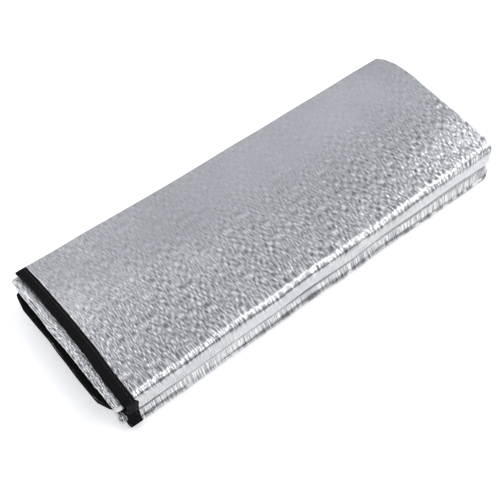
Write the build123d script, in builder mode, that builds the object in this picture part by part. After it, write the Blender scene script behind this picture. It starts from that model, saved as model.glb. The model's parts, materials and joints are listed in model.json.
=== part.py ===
"""A closed-cell foam sleeping pad with silver film on both faces, folded flat into a brick.

The pad is one long laminated sheet. It is folded crosswise into four layers, like a letter with
both taped ends at the same side, and the four-layer strip is then folded lengthwise, zigzag, into
four panels. Panel 1 lies on top and panel 4 lies on the floor. Panels 1 and 2 are joined by the
upper fold at the near side, panels 2 and 3 by the fold at the far side, and panels 3 and 4 by the
lower fold at the near side. Each of those three folds is a hinge line parallel to X.

Frame: X runs along the length with the taped ends at -X, Y points to the far side, Z is up, and
the origin is the centre of the underside. Millimetres.
"""

from build123d import *
import math
import os

# The pad laid flat
pad_length = 2000.0
pad_width = 750.0

# The sheet: foam between two films
foam_thickness = 2.6
film_thickness = 0.2
sheet_thickness = foam_thickness + 2 * film_thickness

# The binding tape sewn around each short end, which squeezes the sheet's edge
tape_width = 12.0
tape_thickness = 0.35
stitch_inset = 9.0
thread_width = 0.6
thread_depth = 0.2

# How the layers and panels lie
layer_gap = 0.2
panel_gap = 0.5
head_end_inset = 8.0
foot_end_inset = 11.0
fold_clearance = 0.25
layer_count = 4
panel_count = 4

# Sizes that follow from the ones above
length = pad_length / layer_count
layer_pitch = sheet_thickness + layer_gap
bundle = layer_count * sheet_thickness + (layer_count - 1) * layer_gap
panel_pitch = bundle + panel_gap
fold_radius = bundle + panel_gap / 2
fold_arc = math.pi * fold_radius / 2
panel_run = (pad_width - (panel_count - 1) * fold_arc) / panel_count
near_y = -panel_run / 2
far_y = panel_run / 2

# Layers of one panel, counted from the side that carries the head end: offset across the panel
layer_v = [(layer_count - 1) / 2 * layer_pitch - i * layer_pitch for i in range(layer_count)]
head_v, foot_v, third_v, fourth_v = layer_v

# The crosswise bends: one pair nested at +X, one small one at -X
outer_bend = 1.5 * layer_pitch
inner_bend = 0.5 * layer_pitch
right_u = length / 2 - outer_bend - sheet_thickness / 2
left_u = -length / 2 + inner_bend + sheet_thickness / 2
head_u = -length / 2 + head_end_inset
foot_u = -length / 2 + foot_end_inset
squeezed_half = sheet_thickness / 2 - tape_thickness
stitch_sides = (1, -1)


def strip(u_low, u_high, v_low, v_high):
    """A straight piece of the cross-section."""
    with Locations(((u_low + u_high) / 2, (v_low + v_high) / 2)):
        Rectangle(u_high - u_low, v_high - v_low)


def bend(centre_u, centre_v, inner_radius, outer_radius, side):
    """Half a ring, bulging towards +X where side is 1 and towards -X where it is -1."""
    with BuildLine() as outline:
        outer = CenterArc((centre_u, centre_v), outer_radius, -90, side * 180)
        inner = CenterArc((centre_u, centre_v), inner_radius, -90, side * 180)
        Line(outer @ 0, inner @ 0)
        Line(outer @ 1, inner @ 1)
    make_face(outline.edges())


def draw_foam():
    """The foam core: four layers, three bends, and two ends squeezed flat by their tape."""
    half = foam_thickness / 2
    squeezed = squeezed_half - film_thickness
    for end_u, v in ((head_u, head_v), (foot_u, foot_v)):
        full_u = end_u + tape_width + film_thickness
        strip(end_u + tape_thickness, full_u, v - squeezed, v + squeezed)
        strip(full_u, right_u, v - half, v + half)
    for v in (third_v, fourth_v):
        strip(left_u, right_u, v - half, v + half)
    bend(right_u, 0, outer_bend - half, outer_bend + half, 1)
    bend(right_u, 0, inner_bend - half, inner_bend + half, 1)
    bend(left_u, (third_v + fourth_v) / 2, inner_bend - half, inner_bend + half, -1)


def draw_film(face):
    """One film. face is 1 for the film that ends up outside and -1 for the one folded inwards."""
    foam_half = foam_thickness / 2
    sheet_half = sheet_thickness / 2
    for end_u, v, side in ((head_u, head_v, face), (foot_u, foot_v, -face)):
        low, high = squeezed_half - film_thickness, squeezed_half
        step_u = end_u + tape_width
        strip(end_u + tape_thickness, step_u + film_thickness, *sorted((v + side * low, v + side * high)))
        strip(step_u, step_u + film_thickness, *sorted((v + side * low, v + side * sheet_half)))
        strip(step_u, right_u, *sorted((v + side * foam_half, v + side * sheet_half)))
    for v, side in ((third_v, face), (fourth_v, -face)):
        strip(left_u, right_u, *sorted((v + side * foam_half, v + side * sheet_half)))
    bends = (
        (right_u, 0, outer_bend, 1, face),
        (right_u, 0, inner_bend, 1, -face),
        (left_u, (third_v + fourth_v) / 2, inner_bend, -1, face),
    )
    for u, v, radius, direction, side in bends:
        inner, outer = sorted((radius + side * foam_half, radius + side * sheet_half))
        bend(u, v, inner, outer, direction)


def draw_face_film():
    draw_film(1)


def draw_back_film():
    draw_film(-1)


def draw_tape(end_u, v):
    """Tape folded round one taped end, with a shallow groove on each side for the thread."""
    sheet_half = sheet_thickness / 2
    strip(end_u, end_u + tape_thickness, v - sheet_half, v + sheet_half)
    for side in stitch_sides:
        strip(end_u, end_u + tape_width, *sorted((v + side * squeezed_half, v + side * sheet_half)))
    for side in stitch_sides:
        with Locations((end_u + stitch_inset, v + side * (sheet_half - thread_depth / 2))):
            Rectangle(thread_width, thread_depth, mode=Mode.SUBTRACT)


def draw_head_tape():
    draw_tape(head_u, head_v)


def draw_foot_tape():
    draw_tape(foot_u, foot_v)


def draw_stitching():
    """The sewing thread, one line on each side of each tape."""
    for end_u, v in ((head_u, head_v), (foot_u, foot_v)):
        for side in stitch_sides:
            with Locations((end_u + stitch_inset, v + side * (sheet_thickness - thread_depth) / 2)):
                Rectangle(thread_width, thread_depth)


def panel_plane(panel, y):
    """A cross-section plane of a panel. Its second axis points at the panel's head end layer."""
    middle_z = (panel_count - panel) * panel_pitch + bundle / 2
    head_up = panel % 2 == 1
    return Plane((0, y, middle_z), x_dir=(1, 0, 0), z_dir=(0, -1 if head_up else 1, 0))


def hinge_z(lower_panel):
    """Height of the hinge line on top of a panel."""
    return (panel_count - lower_panel + 1) * panel_pitch - panel_gap / 2


layers = {
    "foam": draw_foam,
    "face_film": draw_face_film,
    "back_film": draw_back_film,
    "head_tape": draw_head_tape,
    "foot_tape": draw_foot_tape,
    "stitching": draw_stitching,
}

# The three lengthwise folds: name, the panel under the hinge line, Y, and the axis to turn about
folds = (
    ("near_upper_fold", 2, near_y, (-1, 0, 0)),
    ("far_fold", 3, far_y, (1, 0, 0)),
    ("near_lower_fold", 4, near_y, (-1, 0, 0)),
)

os.makedirs("parts", exist_ok=True)

for panel in range(1, panel_count + 1):
    for layer_name, draw in layers.items():
        with BuildPart() as piece:
            with BuildSketch(panel_plane(panel, near_y + fold_clearance)):
                draw()
            extrude(amount=panel_run - 2 * fold_clearance, dir=(0, 1, 0))
        piece.part.label = f"panel_{panel}_{layer_name}"
        export_step(piece.part, f"parts/{piece.part.label}.step")

for fold_name, lower_panel, fold_y, turn in folds:
    for layer_name, draw in layers.items():
        with BuildPart() as piece:
            with BuildSketch(panel_plane(lower_panel, fold_y)):
                draw()
            revolve(axis=Axis((0, fold_y, hinge_z(lower_panel)), turn), revolution_arc=180)
        piece.part.label = f"{fold_name}_{layer_name}"
        export_step(piece.part, f"parts/{piece.part.label}.step")

height = panel_count * bundle + (panel_count - 1) * panel_gap
print("folded size", length, panel_run + 2 * fold_radius, height)
print("hinge lines", near_y, far_y, [hinge_z(panel) for panel in (2, 3, 4)])
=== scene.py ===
"""A silver foam sleeping pad, folded flat into a brick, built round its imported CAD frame.

The sheet is drawn as one continuous path through the four layers of a panel, and that path is
carried along the strip: panel 1, the upper near fold, panel 2, the far fold, panel 3, the lower
near fold and panel 4. Every piece is made by the same placing functions, so that the films, foam
and tapes meet at the fold lines. Metres.
"""

import json
import math

import bpy
import numpy as np
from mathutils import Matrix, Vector


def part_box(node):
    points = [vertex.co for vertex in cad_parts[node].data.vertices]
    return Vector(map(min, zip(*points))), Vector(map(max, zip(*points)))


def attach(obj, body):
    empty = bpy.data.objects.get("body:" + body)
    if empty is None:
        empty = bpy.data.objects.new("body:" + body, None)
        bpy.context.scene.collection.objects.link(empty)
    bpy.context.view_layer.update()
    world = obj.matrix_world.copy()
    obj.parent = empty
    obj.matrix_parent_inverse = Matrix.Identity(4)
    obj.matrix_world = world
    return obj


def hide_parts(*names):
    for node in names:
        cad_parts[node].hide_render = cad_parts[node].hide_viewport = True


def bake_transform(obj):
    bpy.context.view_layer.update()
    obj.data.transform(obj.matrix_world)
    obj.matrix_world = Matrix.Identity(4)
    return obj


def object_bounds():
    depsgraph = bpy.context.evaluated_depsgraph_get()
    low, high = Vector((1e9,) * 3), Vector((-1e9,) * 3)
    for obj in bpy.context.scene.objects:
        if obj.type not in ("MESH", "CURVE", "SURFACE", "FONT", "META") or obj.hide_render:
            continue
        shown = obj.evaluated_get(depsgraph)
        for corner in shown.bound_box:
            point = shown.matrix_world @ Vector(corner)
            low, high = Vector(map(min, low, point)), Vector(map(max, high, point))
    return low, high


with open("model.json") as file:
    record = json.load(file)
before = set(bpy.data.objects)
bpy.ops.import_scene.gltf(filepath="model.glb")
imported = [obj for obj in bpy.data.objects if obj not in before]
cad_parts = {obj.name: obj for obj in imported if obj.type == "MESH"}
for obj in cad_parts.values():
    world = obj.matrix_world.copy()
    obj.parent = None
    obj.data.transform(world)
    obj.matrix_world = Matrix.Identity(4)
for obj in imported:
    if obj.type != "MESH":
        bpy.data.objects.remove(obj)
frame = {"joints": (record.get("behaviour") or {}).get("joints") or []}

cad_low, cad_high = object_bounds()

# ---------------------------------------------------------------- sizes, from the frame
tape_low, tape_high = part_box("panel_1_head_tape")
top_low, top_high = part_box("panel_1_face_film")
foot_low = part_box("panel_1_foot_tape")[0]
next_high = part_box("panel_2_face_film")[1]
foam_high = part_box("panel_1_foam")[1]
HINGES = {joint["name"]: joint["pos_m"] for joint in frame["joints"]}
TOP = cad_high.z
MIDDLE_Z = HINGES["far_hinge"][2]
NEAR_Y = HINGES["near_upper_hinge"][1]
FAR_Y = HINGES["far_hinge"][1]
RUN = FAR_Y - NEAR_Y

# the sheet, a panel's four layers of it, and the panels
SHEET = tape_high.z - tape_low.z
FILM = top_high.z - foam_high.z
BUNDLE = top_high.z - top_low.z
PITCH = (BUNDLE - SHEET) / 3
GAP = top_low.z - next_high.z
PANEL_PITCH = BUNDLE + GAP
HEAD_V, FOOT_V, THIRD_V, FOURTH_V = [PITCH * (1.5 - i) for i in range(4)]

# the taped ends, and the thickness of the tape, which is part.py's
TAPE_WIDTH = tape_high.x - tape_low.x
HEAD_X = tape_low.x
FOOT_X = foot_low.x
TAPE = 0.00035

# the crosswise bends; the one at the left is drawn out along the pad
OUTER_BEND = 1.5 * PITCH
INNER_BEND = 0.5 * PITCH
BEND_STRETCH = 2.2
RIGHT_U = top_high.x - OUTER_BEND - SHEET / 2
LEFT_U = top_low.x + BEND_STRETCH * INNER_BEND + SHEET / 2

# the lengthwise folds, and how square each one is: 2 is round, and more is squarer
FOLD_MID = (BUNDLE + GAP) / 2
FOLD_ARC = math.pi * FOLD_MID
SQUARENESS = {"near_upper_fold": 3.2, "far_fold": 2.3, "near_lower_fold": 2.4}

# ---------------------------------------------------------------- noise
CELLS = 256
NOISE_START = (1000.37, 1000.71)


def step(x, low, high):
    """0 below low, 1 above high, smooth in between."""
    t = np.clip((x - low) / (high - low), 0, 1)
    return t * t * (3 - 2 * t)


def noise(x, y, seed):
    """Smooth noise from -1 to 1, one lump per unit."""
    grid = np.random.RandomState(seed).uniform(-1, 1, (CELLS, CELLS))
    x = x + NOISE_START[0]
    y = y + NOISE_START[1]
    i = np.floor(x).astype(int)
    j = np.floor(y).astype(int)
    a = x - i
    b = y - j
    a = a * a * (3 - 2 * a)
    b = b * b * (3 - 2 * b)
    i0 = i % CELLS
    i1 = (i + 1) % CELLS
    j0 = j % CELLS
    j1 = (j + 1) % CELLS
    low = grid[i0, j0] * (1 - a) + grid[i1, j0] * a
    high = grid[i0, j1] * (1 - a) + grid[i1, j1] * a
    return low * (1 - b) + high * b


def creases(x, y, seed):
    """Sharp ridges from 0 to 1, where the noise changes sign."""
    return 1 - np.minimum(1, np.abs(noise(x, y, seed)) * 2.2)


# ---------------------------------------------------------------- where the sheet goes
SECTIONS = (
    ("panel_1", None), ("near_upper_fold", "near_upper_hinge"),
    ("panel_2", None), ("far_fold", "far_hinge"),
    ("panel_3", None), ("near_lower_fold", "near_lower_hinge"),
    ("panel_4", None),
)
starts = {}
reach = 0.0
for section, hinge in SECTIONS:
    starts[section] = reach
    reach += RUN if hinge is None else FOLD_ARC


def place(u, v, t):
    """The folded place of a point: u along the pad, v across a panel's layers, t along the strip."""
    x = u + 0 * t
    y = np.zeros_like(x + v)
    z = np.zeros_like(y)
    v = v + 0 * y
    t = t + 0 * y
    for k, (section, hinge) in enumerate(SECTIONS):
        start = starts[section]
        end = start + (RUN if hinge is None else FOLD_ARC)
        low = -np.inf if k == 0 else start
        high = np.inf if k == len(SECTIONS) - 1 else end
        here = (t >= low) & (t < high)
        if hinge is None:
            number = int(section[-1])
            middle = (4 - number) * PANEL_PITCH + BUNDLE / 2
            if number % 2:
                y = np.where(here, FAR_Y - (t - start), y)
                z = np.where(here, middle + v, z)
            else:
                y = np.where(here, NEAR_Y + (t - start), y)
                z = np.where(here, middle - v, z)
        else:
            _, hinge_y, hinge_z = HINGES[hinge]
            far = section == "far_fold"
            angle = (t - start) / FOLD_MID
            radius = FOLD_MID + (-v if far else v)
            power = SQUARENESS[section]
            sideways = np.abs(np.sin(angle))
            upwards = np.abs(np.cos(angle))
            radius = radius / (sideways ** power + upwards ** power) ** (1 / power)
            y = np.where(here, hinge_y + (1 if far else -1) * radius * np.sin(angle), y)
            z = np.where(here, hinge_z + radius * np.cos(angle), z)
    return x, y, z


# how far the right end bows outwards, by Y
BOW_Y = (-0.099, -0.088, -0.05, 0.0, 0.035, 0.068, 0.088)
BOW = (-0.003, 0.0, 0.0025, 0.0065, 0.0090, 0.0080, 0.0020)

# how far the layers at the taped end stand out, by Y: the top tape, the silver strip under it, the
# second tape, the black middle and the lowest layers
TAPED_Y = (-0.097, -0.088, -0.078, -0.065, -0.030, 0.0, 0.020, 0.065, 0.082, 0.089)
TOP_OUT = (0.003, 0.003, 0.0027, 0.0021, 0.0, -0.0010, -0.0014, -0.0010, -0.0003, 0.0)
STRIP_OUT = (0.0, -0.001, -0.0018, -0.0026, -0.0026, -0.0026, -0.0020, -0.0015, -0.001, -0.002)
SECOND_OUT = (0.001, 0.001, 0.001, 0.0005, 0.0, -0.0004, -0.0002, -0.0015, -0.002, -0.006)
MIDDLE_OUT = (-0.001, 0.001, 0.0085, 0.0140, 0.0135, 0.0130, 0.0115, 0.0115, 0.008, -0.007)
LOWEST_OUT = (0.0, -0.001, -0.005, -0.006, -0.006, -0.006, -0.006, -0.006, -0.006, -0.008)

# the heights that those stand at, from the lowest up, with even changes between them
TAPED_LAYERS = (
    (0.0190, LOWEST_OUT), (0.0225, MIDDLE_OUT), (0.0290, MIDDLE_OUT), (0.0330, SECOND_OUT),
    (0.0380, SECOND_OUT), (0.0405, STRIP_OUT), (0.0445, STRIP_OUT), (0.0480, TOP_OUT),
)

# the crease along the lower near fold, and the free edges at the far side
CREASE_Z = 0.0162
CREASE_WIDTH = 0.0018
CREASE_DEPTH = 0.0032
TOP_EDGE_OUT = 0.0050
BOTTOM_EDGE_IN = 0.0060


def bowed(x, y, z, rise, beyond, behind):
    """How far the right end moves along X. It bows outwards, and its corners are rounded."""
    right = step(x, 0.13, 0.25)
    dx = right * np.interp(y, BOW_Y, BOW)
    dx = dx - right * 0.005 * beyond ** 2 - right * 0.003 * behind ** 2
    dx = dx - right * rise * 0.004 * step(y, 0.078, 0.0875)
    return dx + right * 0.0012 * noise(y / 0.03, z / 0.009, 21)


def standing_out(y, z):
    """How far a point of the taped end stands out. The black middle does, and the lowest layers don't."""
    outwards = np.interp(y, TAPED_Y, TAPED_LAYERS[0][1])
    for (low_z, before), (high_z, after) in zip(TAPED_LAYERS[:-1], TAPED_LAYERS[1:]):
        share = np.clip((z - low_z) / (high_z - low_z), 0, 1)
        change = np.interp(y, TAPED_Y, after) - np.interp(y, TAPED_Y, before)
        outwards = outwards + change * share
    return outwards + 0.0005 * noise(y / 0.025, z / 0.008, 31)


def settle(x, y, z):
    """The shape the pad takes under its own weight and handling."""
    rise = np.clip((z - MIDDLE_Z) / (TOP - MIDDLE_Z), 0, 1)
    across = np.clip((y - NEAR_Y) / RUN, 0, 1.2)
    beyond = np.clip((NEAR_Y - y) / 0.013, 0, 1.2)
    behind = np.clip((y - FAR_Y) / 0.013, 0, 1.2)
    left = step(-x, 0.17, 0.247)
    # the top panel is crowned, and sags more towards the taped end
    crown = 0.0016 * 4 * across * np.clip(1 - across, -0.2, 1)
    sag = (0.0015 + 0.0015 * step(-x, -0.05, 0.25)) * across * across
    swell = 0.0006 * noise(x / 0.045, y / 0.06, 11) * np.clip(across * 4, 0, 1)
    dz = rise * (crown - sag + swell)
    dx = bowed(x, y, z, rise, beyond, behind)
    dx = dx - left * standing_out(y, z)
    # the near folds are not quite round, and the far fold is drawn in at the taped end
    dy = -beyond * 0.0012 * noise(x / 0.05, z / 0.012, 41) - left * 0.003 * behind
    # the lower near fold leans down to the floor, and a crease runs along it
    at_fold = np.clip(beyond, 0, 1)
    lean = at_fold ** 2 * np.sin(math.pi * np.clip(z / MIDDLE_Z, 0, 1))
    dy = dy + 0.001 * step(-z, -0.030, -0.022) * at_fold
    crease_z = CREASE_Z - 0.0025 * step(x, 0.05, 0.24) + 0.0008 * noise(x / 0.05, 0.5, 42)
    crease = np.exp(-((z - crease_z) / CREASE_WIDTH) ** 2)
    crease = crease * (1 + 0.2 * noise(x / 0.009, z / 0.003, 43))
    dy = dy - CREASE_DEPTH * at_fold * crease
    dz = dz - 0.0055 * lean
    # at the taped end the top panel's free edge runs past the far fold, and the bottom panel's stops
    # short, which leaves the top one more room when it opens
    taped_edge = np.clip(across, 0, 1) ** 2 * step(-x, 0.03, 0.24)
    dy = dy + TOP_EDGE_OUT * rise * taped_edge
    dy = dy - BOTTOM_EDGE_IN * step(-z, -0.0130, -0.0127) * taped_edge
    # nothing reaches below the floor
    return x + dx, y + dy, np.maximum(z + dz, 0)


def roughness_of(x, y, z):
    """How crumpled the film is at a place, from 0 to 1. It also sets how strong the film's painted glints
    and painted shade are.
    """
    near = step(-y, -NEAR_Y - 0.028, -NEAR_Y + 0.004)
    right = step(x, 0.17, 0.245) * (1 - 0.75 * step(y, -0.04, 0.05))
    left = step(-x, 0.236, 0.246) * (0.5 + 0.2 * step(-y, -0.04, 0.07))
    across = 0.06 + 0.12 * step(-x, -0.02, 0.18) + 0.5 * step(-y, -0.045, 0.055)
    patchy = 0.5 + 0.5 * noise(x / 0.05, y / 0.03, 51)
    most = np.maximum(np.maximum(near * 0.9, right * 0.7), left)
    rough = np.clip(np.maximum(most * (0.55 + 0.6 * patchy), across), 0, 1)
    # the crumple is turned down much on the underside of the upper near fold, and a little on the lower
    # one, so the wrinkles there are smaller and the painted glints and shade stay off them
    turned = step(-y, -NEAR_Y, -NEAR_Y + 0.002)
    hinge_z = HINGES["near_upper_hinge"][2]
    under = step(0.70 * np.abs(y - NEAR_Y) - (z - hinge_z), -0.0012, 0.0012)
    under = under * step(z, hinge_z - 0.0135, hinge_z - 0.0130)
    lower = step(-z, -MIDDLE_Z - 0.0002, -MIDDLE_Z + 0.0002)
    return rough * (1 - turned * np.maximum(0.85 * under, 0.35 * lower))


# ---------------------------------------------------------------- the path through the layers
BEND_POINTS = 13
TIGHT_POINTS = 9
TAPE_SPACING = 0.0018

# the sheet swells to its full thickness from just before the tape's end to just after it
SWELL_BEFORE = 0.0002
SWELL_AFTER = 0.0004


def straight(u0, u1, v, spacing, side):
    """A straight run of the path. side is 1 where the face film is above, and -1 where it is below."""
    count = max(2, int(round(abs(u1 - u0) / spacing)) + 1)
    u = np.linspace(u0, u1, count)
    return u, np.full(count, v), np.zeros(count), np.full(count, float(side))


def arc(cu, cv, radius, a0, a1, count, side, stretch=1.0):
    """A bend. stretch draws it out along the pad."""
    angle = np.radians(np.linspace(a0, a1, count))
    nu = np.cos(angle) / stretch
    nv = np.sin(angle)
    length = side * np.hypot(nu, nv)
    return cu + stretch * radius * np.cos(angle), cv + radius * np.sin(angle), nu / length, nv / length


def joined(runs):
    """One path from its runs, with the length along it. A run starts where the one before ended."""
    rows = [np.array(runs[0])] + [np.array(run)[:, 1:] for run in runs[1:]]
    u, v, nu, nv = np.concatenate(rows, axis=1)
    s = np.concatenate([[0], np.cumsum(np.hypot(np.diff(u), np.diff(v)))])
    return {"u": u, "v": v, "nu": nu, "nv": nv, "s": s}


def sheet_path(head, fourth, inside):
    """The sheet from its head end to its foot end. head, fourth and inside are point spacings."""
    under_tape = TAPE_WIDTH - TAPE
    edge = np.array([0, under_tape - SWELL_BEFORE, under_tape + SWELL_AFTER])
    head_edge = HEAD_X + TAPE + edge
    foot_edge = FOOT_X + TAPE + edge
    none = np.zeros(3)
    path = joined([
        (head_edge, none + HEAD_V, none, none + 1),
        straight(head_edge[-1], RIGHT_U, HEAD_V, head, 1),
        arc(RIGHT_U, 0, OUTER_BEND, 90, -90, BEND_POINTS, 1),
        straight(RIGHT_U, LEFT_U, FOURTH_V, fourth, -1),
        arc(LEFT_U, -PITCH, INNER_BEND, -90, -270, BEND_POINTS, 1, BEND_STRETCH),
        straight(LEFT_U, RIGHT_U, THIRD_V, inside, 1),
        arc(RIGHT_U, 0, INNER_BEND, -90, 90, TIGHT_POINTS, -1),
        straight(RIGHT_U, foot_edge[-1], FOOT_V, inside, -1),
        (foot_edge[::-1], none + FOOT_V, none, none - 1),
    ])
    half = np.full(len(path["u"]), SHEET / 2)
    for ends in (slice(0, 2), slice(-2, None)):
        half[ends] = SHEET / 2 - TAPE
    path["half"] = half
    return path


def tape_path(end, v):
    """A binding tape, round the edge of the sheet from its underside to its top."""
    radius = SHEET / 2 - TAPE / 2
    return joined([
        straight(end + TAPE_WIDTH, end + radius, v - radius, TAPE_SPACING, -1),
        arc(end + radius, v, radius, -90, -270, TIGHT_POINTS, 1),
        straight(end + radius, end + TAPE_WIDTH, v + radius, TAPE_SPACING, 1),
    ])


# ---------------------------------------------------------------- meshes
TINY = 1e-12
ROW_BEYOND = 0.0005


def wrinkles(s, t, rough):
    """How far a film stands off its sheet: wrinkles across the pad, and crumples round its folds."""
    height = 0.00010 * creases(s / 0.0075, t / 0.05, 61)
    height = height + 0.00007 * noise(s / 0.004, t / 0.025, 62)
    height = height + rough * 0.00014 * (creases(s / 0.009, t / 0.016, 63) - 0.4)
    return height + rough * 0.00011 * (creases(s / 0.0050, t / 0.012, 64) - 0.4)


def lifted(path, level, rows, film_side=0):
    """The surface at a level off the path's middle: points, normals, sheet coordinates and crumple."""
    u = (path["u"] + path["nu"] * level)[:, None]
    v = (path["v"] + path["nv"] * level)[:, None]
    s = path["s"][:, None] + 0 * rows[None, :]
    t = rows[None, :] + 0 * s
    x, y, z = place(u, v, t)
    rough = roughness_of(x, y, z)
    if film_side:
        height = wrinkles(s, t, rough) * film_side
        x, y, z = place(u + path["nu"][:, None] * height, v + path["nv"][:, None] * height, t)
    points = np.stack(settle(x, y, z), axis=-1)
    normals = np.cross(np.gradient(points, axis=1), np.gradient(points, axis=0))
    normals = normals / np.maximum(np.linalg.norm(normals, axis=-1, keepdims=True), TINY)
    return points, normals, np.stack([s, t], axis=-1), rough


class GridMesh:
    """Collects grids into one mesh."""

    def __init__(self):
        self.points = []
        self.normals = []
        self.sheet = []
        self.rough = []
        self.faces = []
        self.count = 0

    def grid(self, points, normals, sheet, rough, flip=False):
        rows, columns = points.shape[:2]
        index = self.count + np.arange(rows * columns).reshape(rows, columns)
        corners = [index[:-1, :-1], index[:-1, 1:], index[1:, 1:], index[1:, :-1]]
        if flip:
            corners = [corners[0], corners[3], corners[2], corners[1]]
        if normals is None:
            normals = np.zeros(points.shape)
        self.points.append(points.reshape(-1, 3))
        self.normals.append((-normals if flip else normals).reshape(-1, 3))
        self.sheet.append(sheet.reshape(-1, 2))
        self.rough.append(rough.reshape(-1))
        self.faces.append(np.stack(corners, axis=-1).reshape(-1, 4))
        self.count += rows * columns

    def shell(self, upper, lower):
        """A closed slab between two surfaces. Its rims have points of their own, so they shade flat."""
        self.grid(*upper)
        self.grid(*lower, flip=True)
        for axis, at in ((0, 0), (0, -1), (1, 0), (1, -1)):
            first = [np.take(values, [at], axis=axis) for values in upper]
            second = [np.take(values, [at], axis=axis) for values in lower]
            points, _, sheet, rough = [np.concatenate(pair, axis=axis) for pair in zip(first, second)]
            self.grid(points, None, sheet, rough, flip=at == 0)

    def mesh(self, name):
        data = bpy.data.meshes.new(name)
        points = np.concatenate(self.points)
        faces = np.concatenate(self.faces)
        data.from_pydata(points.tolist(), [], faces.tolist())
        data.polygons.foreach_set("use_smooth", np.ones(len(faces), bool))
        uv = data.uv_layers.new(name="sheet")
        corner = np.concatenate(self.sheet)[faces.reshape(-1)]
        uv.data.foreach_set("uv", corner.astype(np.float32).reshape(-1))
        # the crumple also sets how strong the film's painted glints and painted shade are
        crumple = data.attributes.new("crumple", "FLOAT", "POINT")
        crumple.data.foreach_set("value", np.concatenate(self.rough).astype(np.float32))
        data.update()
        data.normals_split_custom_set_from_vertices(np.concatenate(self.normals).tolist())
        return data


def part_of(surface, stations):
    """Some stations of a surface, without the extra row at each end that its normals needed."""
    return tuple(values[stations, 1:-1] for values in surface)


def rows_between(t0, t1, spacing):
    """Rows from t0 to t1, with one more beyond each end."""
    count = max(2, int(round((t1 - t0) / spacing)) + 1)
    t = np.linspace(t0, t1, count)
    return np.concatenate([[t0 - ROW_BEYOND], t, [t1 + ROW_BEYOND]])


def linked(name, data):
    obj = bpy.data.objects.new(name, data)
    bpy.context.scene.collection.objects.link(obj)
    return obj


def add(name, data, material, cad_node, section):
    """A piece from its mesh, standing for a CAD node, which it hides; a panel's piece is held by that
    panel's body.
    """
    piece = linked(name, data)
    piece.data.materials.append(material)
    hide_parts(cad_node)
    hold(piece, section)
    return piece


# ---------------------------------------------------------------- materials
# the film's metal colour runs from painted shade, the dark flecks of its wrinkles, to painted glints
FILM_PAINTED_SHADE = (0.22, 0.226, 0.245)
FILM_PAINTED_GLINT = (1.0, 1.0, 1.0)
DARK_FOAM = (0.86, 0.86, 0.85)
PALE_FOAM = (0.93, 0.93, 0.92)
DARK_TAPE = (0.002, 0.002, 0.0025)
PALE_TAPE = (0.010, 0.010, 0.011)
DARK_THREAD = (0.008, 0.008, 0.009)
PALE_THREAD = (0.03, 0.03, 0.033)
WARP_SPACING = 0.0011
WEFT_SPACING = 0.0009


def new_material(name):
    made = bpy.data.materials.new(name)
    made.use_nodes = True
    tree = made.node_tree
    shader = next(n for n in tree.nodes if n.type == "BSDF_PRINCIPLED")
    return made, tree, shader


def node(tree, kind, **values):
    made = tree.nodes.new(kind)
    for key, value in values.items():
        if key in made.inputs:
            made.inputs[key].default_value = value
        else:
            setattr(made, key, value)
    return made


def sheet_vector(tree, scale_s, scale_t):
    """The sheet's own coordinates, s along the pad and t across it, scaled to lumps per metre."""
    uv = node(tree, "ShaderNodeUVMap", uv_map="sheet")
    mapping = node(tree, "ShaderNodeMapping")
    mapping.inputs["Scale"].default_value = (scale_s, scale_t, 1)
    tree.links.new(uv.outputs["UV"], mapping.inputs["Vector"])
    return mapping.outputs["Vector"]


def noise_node(tree, vector, detail=2.0, roughness=0.5, scale=1.0):
    made = node(tree, "ShaderNodeTexNoise", Scale=scale, Detail=detail, Roughness=roughness)
    tree.links.new(vector, made.inputs["Vector"])
    return made.outputs["Fac"]


def math_node(tree, operation, a, b=None):
    made = node(tree, "ShaderNodeMath", operation=operation)
    for socket, value in zip(made.inputs, (a, b)):
        if value is None:
            continue
        if isinstance(value, (int, float)):
            socket.default_value = value
        else:
            tree.links.new(value, socket)
    return made.outputs[0]


# the colour sockets of a Mix node, which go by number because its sockets share their names
MIX_FACTOR = 0
MIX_FIRST = 6
MIX_SECOND = 7
MIX_RESULT = 2


def mix_colour(tree, factor, first, second):
    made = node(tree, "ShaderNodeMix", data_type="RGBA")
    tree.links.new(factor, made.inputs[MIX_FACTOR])
    made.inputs[MIX_FIRST].default_value = (*first, 1)
    made.inputs[MIX_SECOND].default_value = (*second, 1)
    return made.outputs[MIX_RESULT]


def remap(tree, value, low, high, to_low, to_high):
    made = node(tree, "ShaderNodeMapRange")
    tree.links.new(value, made.inputs["Value"])
    made.inputs["From Min"].default_value = low
    made.inputs["From Max"].default_value = high
    made.inputs["To Min"].default_value = to_low
    made.inputs["To Max"].default_value = to_high
    return made.outputs["Result"]


def bump(tree, height, distance, normal=None):
    made = node(tree, "ShaderNodeBump", Strength=1.0, Distance=distance)
    tree.links.new(height, made.inputs["Height"])
    if normal is not None:
        tree.links.new(normal, made.inputs["Normal"])
    return made.outputs["Normal"]


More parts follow.
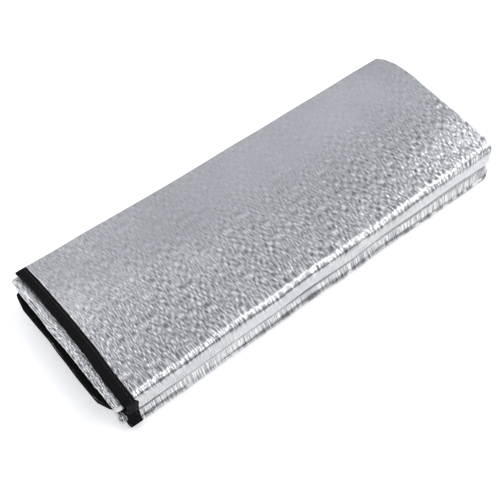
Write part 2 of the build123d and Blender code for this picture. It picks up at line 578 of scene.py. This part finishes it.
def make_silver():
    """Metallised film: a satin mirror with fine wrinkles across the pad and crumples round its folds. Its
    colour holds painted glints and painted shade of the wrinkles over a faint random tone.
    """
    made, tree, shader = new_material("silver_film")
    shader.inputs["Metallic"].default_value = 1.0
    crumple = node(tree, "ShaderNodeAttribute", attribute_name="crumple").outputs["Fac"]
    patches = noise_node(tree, sheet_vector(tree, 14, 9), detail=3)
    streaks = noise_node(tree, sheet_vector(tree, 1150, 160), detail=2.0, roughness=0.5)
    glints = noise_node(tree, sheet_vector(tree, 900, 210), detail=1.0)
    lumps = noise_node(tree, sheet_vector(tree, 160, 80), detail=1.0)
    fine = math_node(tree, "MULTIPLY", streaks, math_node(tree, "ADD", crumple, 0.06))
    normal = bump(tree, fine, 0.0014)
    normal = bump(tree, math_node(tree, "MULTIPLY", lumps, crumple), 0.0006, normal=normal)
    tree.links.new(normal, shader.inputs["Normal"])
    # painted highlight and painted shade: the streaks and glints go into the colour as bright glints and
    # dark flecks, as strong as the film is crumpled
    painted_streaks = remap(tree, streaks, 0.38, 0.62, -1.05, 0.95)
    painted_glints = remap(tree, glints, 0.56, 0.76, 0, 0.45)
    painted_sparkle = math_node(tree, "ADD", painted_streaks, painted_glints)
    painted_sparkle = math_node(tree, "MULTIPLY", painted_sparkle, math_node(tree, "ADD", crumple, 0.05))
    # the painted glints and shade, with a faint random tone of the film's own
    shade = math_node(tree, "ADD", painted_sparkle, remap(tree, patches, 0.3, 0.7, -0.06, 0.06))
    colour = mix_colour(tree, remap(tree, shade, -0.6, 0.8, 0, 1), FILM_PAINTED_SHADE, FILM_PAINTED_GLINT)
    tree.links.new(colour, shader.inputs["Base Color"])
    tree.links.new(remap(tree, streaks, 0.3, 0.7, 0.16, 0.26), shader.inputs["Roughness"])
    return made


def make_foam():
    """White closed-cell foam, seen at the cut edges."""
    made, tree, shader = new_material("white_foam")
    position = node(tree, "ShaderNodeTexCoord").outputs["Object"]
    cells = node(tree, "ShaderNodeTexVoronoi", Scale=1400.0)
    tree.links.new(position, cells.inputs["Vector"])
    tree.links.new(bump(tree, cells.outputs["Distance"], 0.0004), shader.inputs["Normal"])
    tint = noise_node(tree, position, scale=60.0)
    colour = mix_colour(tree, tint, DARK_FOAM, PALE_FOAM)
    tree.links.new(colour, shader.inputs["Base Color"])
    shader.inputs["Roughness"].default_value = 0.8
    return made


def make_tape():
    """Black woven binding tape, ribbed across its width."""
    made, tree, shader = new_material("black_tape")
    vector = sheet_vector(tree, 1, 1)
    split = node(tree, "ShaderNodeSeparateXYZ")
    tree.links.new(vector, split.inputs[0])
    warp = math_node(tree, "MULTIPLY", split.outputs["X"], 2 * math.pi / WARP_SPACING)
    weft = math_node(tree, "MULTIPLY", split.outputs["Y"], 2 * math.pi / WEFT_SPACING)
    warp = math_node(tree, "SINE", warp)
    weft = math_node(tree, "SINE", weft)
    weave = math_node(tree, "MULTIPLY", warp, weft)
    tree.links.new(bump(tree, weave, 0.00012), shader.inputs["Normal"])
    worn = noise_node(tree, sheet_vector(tree, 120, 60), detail=4)
    woven = remap(tree, weave, -1, 1, 0, 0.7)
    rubbed = remap(tree, worn, 0.35, 0.75, 0, 0.3)
    colour = mix_colour(tree, math_node(tree, "ADD", woven, rubbed), DARK_TAPE, PALE_TAPE)
    tree.links.new(colour, shader.inputs["Base Color"])
    tree.links.new(remap(tree, worn, 0.3, 0.7, 0.5, 0.7), shader.inputs["Roughness"])
    shader.inputs["Specular IOR Level"].default_value = 0.06
    return made


def make_thread():
    """Black sewing thread, with its twist."""
    made, tree, shader = new_material("black_thread")
    position = node(tree, "ShaderNodeTexCoord").outputs["Object"]
    twist = node(tree, "ShaderNodeTexWave", Scale=900.0, Distortion=1.0)
    tree.links.new(position, twist.inputs["Vector"])
    tree.links.new(bump(tree, twist.outputs["Fac"], 0.0001), shader.inputs["Normal"])
    colour = mix_colour(tree, twist.outputs["Fac"], DARK_THREAD, PALE_THREAD)
    tree.links.new(colour, shader.inputs["Base Color"])
    shader.inputs["Roughness"].default_value = 0.5
    return made


silver = make_silver()
white = make_foam()
black = make_tape()
thread = make_thread()

# ---------------------------------------------------------------- pieces
FOAM_CLEARANCE = 0.00025
TAPE_OUTSIDE_LIFT = 0.00008
TAPE_INSIDE_LIFT = 0.00002
STITCH_PITCH = 0.003
STITCH_INSET = 0.009
STITCH_LIFT = 0.0001
STITCH_SIDES = 8
STITCH_HALF_WIDTH = 0.0003
STITCH_HALF_HEIGHT = 0.0002
STITCH_RINGS = ((-0.0011, 0.45), (-0.0008, 0.85), (0.0, 1.0), (0.0008, 0.85), (0.0011, 0.45))


def film_shells(grids, path, rows, side, runs):
    """One film, on the side of the sheet that side says, for some runs of stations."""
    outer = lifted(path, side * path["half"], rows, side)
    inner = lifted(path, side * (path["half"] - FILM), rows, side)
    upper, lower = (outer, inner) if side > 0 else (inner, outer)
    for run in runs:
        grids.shell(part_of(upper, run), part_of(lower, run))


def foam_shells(grids, path, rows, runs):
    """The foam, a little thinner than the room between the films."""
    half = path["half"] - FILM - FOAM_CLEARANCE
    upper = lifted(path, half, rows)
    lower = lifted(path, -half, rows)
    for run in runs:
        grids.shell(part_of(upper, run), part_of(lower, run))


def tape_shell(grids, path, rows):
    """A tape, moved out so that it lies clear of the film under it."""
    upper = lifted(path, TAPE / 2 + TAPE_OUTSIDE_LIFT, rows)
    lower = lifted(path, -TAPE / 2 + TAPE_INSIDE_LIFT, rows)
    grids.shell(part_of(upper, slice(None)), part_of(lower, slice(None)))


def stitch_shape():
    """One stitch along the strip: a bead of five rings, as points and faces."""
    angles = np.arange(STITCH_SIDES) * 2 * math.pi / STITCH_SIDES
    shape = np.array([
        (STITCH_HALF_WIDTH * size * math.cos(a), STITCH_HALF_HEIGHT * size * math.sin(a), along)
        for along, size in STITCH_RINGS
        for a in angles
    ])
    faces = []
    for ring in range(len(STITCH_RINGS) - 1):
        for k in range(STITCH_SIDES):
            here = ring * STITCH_SIDES + k
            beside = ring * STITCH_SIDES + (k + 1) % STITCH_SIDES
            faces.append((here, beside, beside + STITCH_SIDES, here + STITCH_SIDES))
    last_ring = (len(STITCH_RINGS) - 1) * STITCH_SIDES
    faces.append(tuple(range(STITCH_SIDES - 1, -1, -1)))
    faces.append(tuple(range(last_ring, last_ring + STITCH_SIDES)))
    return shape, faces


def stitch_mesh(name, end, v, t0, t1):
    """A row of stitches on each side of the tape at one end, whose layer is at the offset v."""
    count = int((t1 - t0) / STITCH_PITCH)
    centres = t0 + (t1 - t0) * (np.arange(count) + 0.5) / count
    shape, stitch_faces = stitch_shape()
    u = end + STITCH_INSET + shape[:, 0]
    points = []
    faces = []
    for side in (1, -1):
        surface_v = v + side * (SHEET / 2 + STITCH_LIFT)
        for centre in centres:
            base = len(points) * len(shape)
            placed = place(u, surface_v + shape[:, 1], centre + shape[:, 2])
            points.append(np.stack(settle(*placed), axis=-1))
            faces.extend(tuple(base + i for i in face) for face in stitch_faces)
    data = bpy.data.meshes.new(name)
    data.from_pydata(np.concatenate(points).tolist(), [], faces)
    data.polygons.foreach_set("use_smooth", np.ones(len(faces), bool))
    data.update()
    return data


# point spacings: on the head layer, on the fourth layer and inside, and then between rows
FINE = 0.0015
PLAIN = 0.004
COARSE = 0.012
CORE = 0.02
SPACINGS = {
    "panel_1": (FINE, PLAIN, COARSE, 0.0022),
    "near_upper_fold": (FINE, PLAIN, COARSE, FOLD_ARC / 28),
    "panel_2": (PLAIN, PLAIN, COARSE, PLAIN),
    "far_fold": (PLAIN, 0.0025, COARSE, FOLD_ARC / 24),
    "panel_3": (PLAIN, PLAIN, COARSE, PLAIN),
    "near_lower_fold": (FINE, PLAIN, COARSE, FOLD_ARC / 28),
    "panel_4": (PLAIN, PLAIN, COARSE, PLAIN),
}
LEAST_SPAN = 0.00004
BODIES_AT = {
    "near_upper_fold": ("panel_1", "panel_2"),
    "far_fold": ("panel_2", "panel_3"),
    "near_lower_fold": ("panel_3", "panel_4"),
}


def hold(piece, section):
    """A piece rides on its panel; a fold's piece stays where it is made, with its transform baked into
    its mesh.
    """
    if section not in BODIES_AT:
        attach(piece, section)
        return
    _, hinge_y, hinge_z = HINGES[dict(SECTIONS)[section]]
    points = np.array([vertex.co for vertex in piece.data.vertices])
    clear = 0.98 * np.hypot(points[:, 1] - hinge_y, points[:, 2] - hinge_z).min()
    clear = max(clear, LEAST_SPAN)
    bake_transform(piece)


def bands(path):
    """The runs of stations in each of four bands across the layers, from the head layer to the fourth."""
    middle = (path["v"][:-1] + path["v"][1:]) / 2
    band = np.clip(np.floor((2 * PITCH - middle) / PITCH).astype(int), 0, 3)
    edges = np.flatnonzero(np.diff(band)) + 1
    edges = [0, *edges, len(band)]
    runs = [[], [], [], []]
    for first, last in zip(edges[:-1], edges[1:]):
        runs[band[first]].append(slice(int(first), int(last) + 1))
    return runs


ALL = [slice(None)]
core_path = sheet_path(CORE, CORE, CORE)
for section, hinge in SECTIONS:
    t0 = starts[section]
    t1 = t0 + (RUN if hinge is None else FOLD_ARC)
    head, fourth, inside, row_spacing = SPACINGS[section]
    path = sheet_path(head, fourth, inside)
    rows = rows_between(t0, t1, row_spacing)
    core_rows = rows_between(t0, t1, CORE if hinge is None else row_spacing)
    if hinge is None:
        groups = {"": (ALL, ALL)}
    else:
        groups = {f"_{k + 1}": runs for k, runs in enumerate(zip(bands(path), bands(core_path)))}
    for suffix, (runs, core_runs) in groups.items():
        for film, side in (("face_film", 1), ("back_film", -1)):
            grids = GridMesh()
            film_shells(grids, path, rows, side, runs)
            cad_node = f"{section}_{film}"
            data = grids.mesh(cad_node)
            add(f"{cad_node}_piece{suffix}", data, silver, cad_node, section)
        grids = GridMesh()
        foam_shells(grids, core_path, core_rows, core_runs)
        cad_node = f"{section}_foam"
        data = grids.mesh(cad_node)
        piece = add(f"{cad_node}_piece{suffix}", data, white, cad_node, section)
    for end_name, end, v in (("head", HEAD_X, HEAD_V), ("foot", FOOT_X, FOOT_V)):
        grids = GridMesh()
        tape_shell(grids, tape_path(end, v), rows)
        cad_node = f"{section}_{end_name}_tape"
        add(f"{cad_node}_piece", grids.mesh(cad_node), black, cad_node, section)
        name = f"{section}_{end_name}_stitches"
        data = stitch_mesh(name, end, v, t0, t1)
        add(name, data, thread, f"{section}_stitching", section)

# ---------------------------------------------------------------- floor, light and camera


def aimed(obj, place_at, target):
    obj.location = place_at
    obj.rotation_mode = "QUATERNION"
    obj.rotation_quaternion = (Vector(target) - Vector(place_at)).to_track_quat("-Z", "Y")


def area_light(name, place_at, size, power):
    data = bpy.data.lights.new(name, "AREA")
    data.shape = "RECTANGLE"
    data.size, data.size_y = size
    data.energy = power
    aimed(linked(name, data), place_at, (0, 0, 0))


FLOOR_REACH = 4
FLOOR_ROUGHNESS = 0.9
FLOOR_GLOW = 0.42
FLOOR_CORNERS = [(x * FLOOR_REACH, y * FLOOR_REACH, 0) for x, y in ((-1, -1), (1, -1), (1, 1), (-1, 1))]
floor_data = bpy.data.meshes.new("floor")
floor_data.from_pydata(FLOOR_CORNERS, [], [(0, 1, 2, 3)])
floor = linked("floor", floor_data)
floor_material, floor_tree, floor_shader = new_material("floor")
floor_position = node(floor_tree, "ShaderNodeTexCoord").outputs["Object"]
floor_tone = noise_node(floor_tree, floor_position, scale=3.0)
floor_colour = mix_colour(floor_tree, floor_tone, (0.90, 0.90, 0.90), (0.91, 0.91, 0.91))
floor_tree.links.new(floor_colour, floor_shader.inputs["Base Color"])
floor_shader.inputs["Roughness"].default_value = FLOOR_ROUGHNESS
floor_shader.inputs["Specular IOR Level"].default_value = 0.0
floor_shader.inputs["Emission Color"].default_value = (1, 1, 1, 1)
floor_shader.inputs["Emission Strength"].default_value = FLOOR_GLOW
floor_data.materials.append(floor_material)

world = bpy.data.worlds.new("studio")
bpy.context.scene.world = world
world.use_nodes = True
sky = world.node_tree
background = next(n for n in sky.nodes if n.type == "BACKGROUND")
direction = node(sky, "ShaderNodeTexCoord").outputs["Generated"]
axes = node(sky, "ShaderNodeSeparateXYZ")
sky.links.new(direction, axes.inputs[0])


def sky_towards(x, y):
    """How far a direction of the sky points along X and Y, in those shares."""
    x_share = math_node(sky, "MULTIPLY", axes.outputs["X"], x)
    y_share = math_node(sky, "MULTIPLY", axes.outputs["Y"], y)
    return x_share, y_share


def sky_ramp(stops):
    """The studio's brightness by height, from the horizon up."""
    ramp = node(sky, "ShaderNodeValToRGB")
    while len(ramp.color_ramp.elements) < len(stops):
        ramp.color_ramp.elements.new(0.5)
    for element, (at, level) in zip(ramp.color_ramp.elements, stops):
        element.position = at
        element.color = (*(level * share for share in SKY_TINT), 1)
    sky.links.new(axes.outputs["Z"], ramp.inputs["Fac"])
    return ramp.outputs["Color"]


# the studio is pale all round, with a dark screen low down in front of the pad's near side
SKY_TINT = (0.965, 0.985, 1.05)
UPPER_SKY = ((0.45, 0.60), (0.66, 0.85), (0.76, 0.83), (0.81, 0.66), (1.0, 0.40))
pale_sky = sky_ramp(((0.0, 0.9), (0.01, 0.88), (0.22, 0.60), *UPPER_SKY))
dark_sky = sky_ramp(((0.0, 0.9), (0.01, 0.05), (0.22, 0.10), *UPPER_SKY))
toward_x, toward_y = sky_towards(0.39, 0.92)
near_side = math_node(sky, "SUBTRACT", toward_x, toward_y)
sky_mix = node(sky, "ShaderNodeMix", data_type="RGBA")
sky.links.new(remap(sky, near_side, 0.30, 0.60, 0, 1), sky_mix.inputs[MIX_FACTOR])
sky.links.new(pale_sky, sky_mix.inputs[MIX_FIRST])
sky.links.new(dark_sky, sky_mix.inputs[MIX_SECOND])
sky.links.new(sky_mix.outputs[MIX_RESULT], background.inputs["Color"])

# and it is a little darker towards the far side and the taped end
toward_x, toward_y = sky_towards(0.85, 0.50)
far_left = math_node(sky, "SUBTRACT", toward_y, toward_x)
sky.links.new(remap(sky, far_left, -0.06, 0.08, 1.0, 0.84), background.inputs["Strength"])

# name, place, size and power in watts
LIGHTS = (
    ("left_back", (-0.9, 1.5, 1.9), (0.8, 0.8), 4),
    ("overhead", (-0.2, -0.1, 2.4), (0.7, 0.7), 4),
    ("right", (2.1, 0.1, 1.1), (0.9, 0.9), 20),
    ("crest", (0.85, -1.35, 1.9), (1.2, 0.5), 14),
    ("back", (0.4, 2.2, 0.9), (1.2, 0.4), 9),
)
for light in LIGHTS:
    area_light(*light)

bpy.context.scene.view_settings.view_transform = "Standard"

# the photo's viewing angle, from the near side and the taped end
AZIMUTH = math.radians(-39.6)
ELEVATION = math.radians(53.2)
DISTANCE = 1.065
SENSOR_MM = 36
LENS_MM = 72.3
NEAREST = 0.01
TARGET = (-0.0225, -0.0059, 0.0)
TOWARDS_CAMERA = (
    math.sin(AZIMUTH) * math.cos(ELEVATION),
    -math.cos(AZIMUTH) * math.cos(ELEVATION),
    math.sin(ELEVATION),
)
CAMERA_PLACE = tuple(at + DISTANCE * share for at, share in zip(TARGET, TOWARDS_CAMERA))
camera_data = bpy.data.cameras.new("camera")
camera_data.sensor_width = SENSOR_MM
camera_data.lens = LENS_MM
camera_data.clip_start = NEAREST
camera = linked("camera", camera_data)
bpy.context.scene.camera = camera
aimed(camera, CAMERA_PLACE, TARGET)
